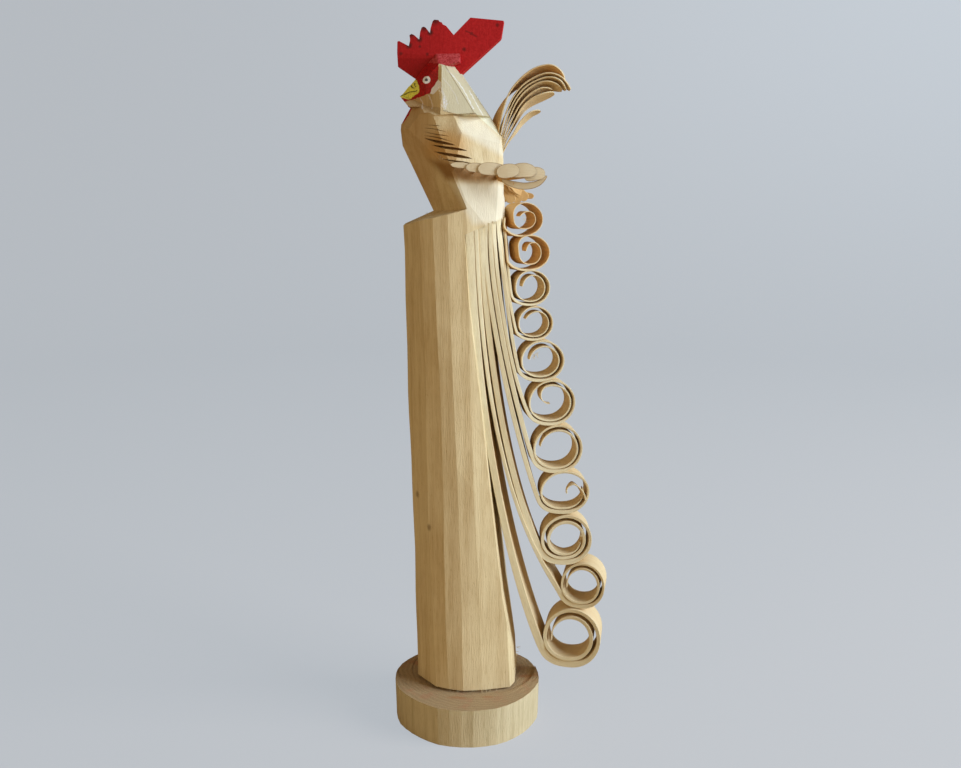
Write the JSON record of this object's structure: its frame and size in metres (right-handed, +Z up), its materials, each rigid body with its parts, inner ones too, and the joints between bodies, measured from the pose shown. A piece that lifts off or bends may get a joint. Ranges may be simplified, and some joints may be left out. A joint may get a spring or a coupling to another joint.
{
  "type": "rooster wood carving",
  "caption": "Long-tailed rooster carved with one knife from a standing stick, with curled shavings for its tail, thin-sliced wings and plume, painted comb and face, on a disc plinth.",
  "frame": {"origin": "centre of the plinth's underside", "axes": "+Z up along the stick, the bird looks along -Y, its left side faces +X"},
  "size_m": [0.0497, 0.0708, 0.2256],
  "materials": {
    "plinth_wood": "knife-trimmed side, sawn end grain on top, unfinished",
    "carving_wood": "bare knife-cut pale wood, red paint on comb and face, white lines and yellow-green beak"
  },
  "bodies": {
    "root": {"plinth": "plinth_wood", "rooster_carving": "carving_wood"}
  },
  "joints": []
}
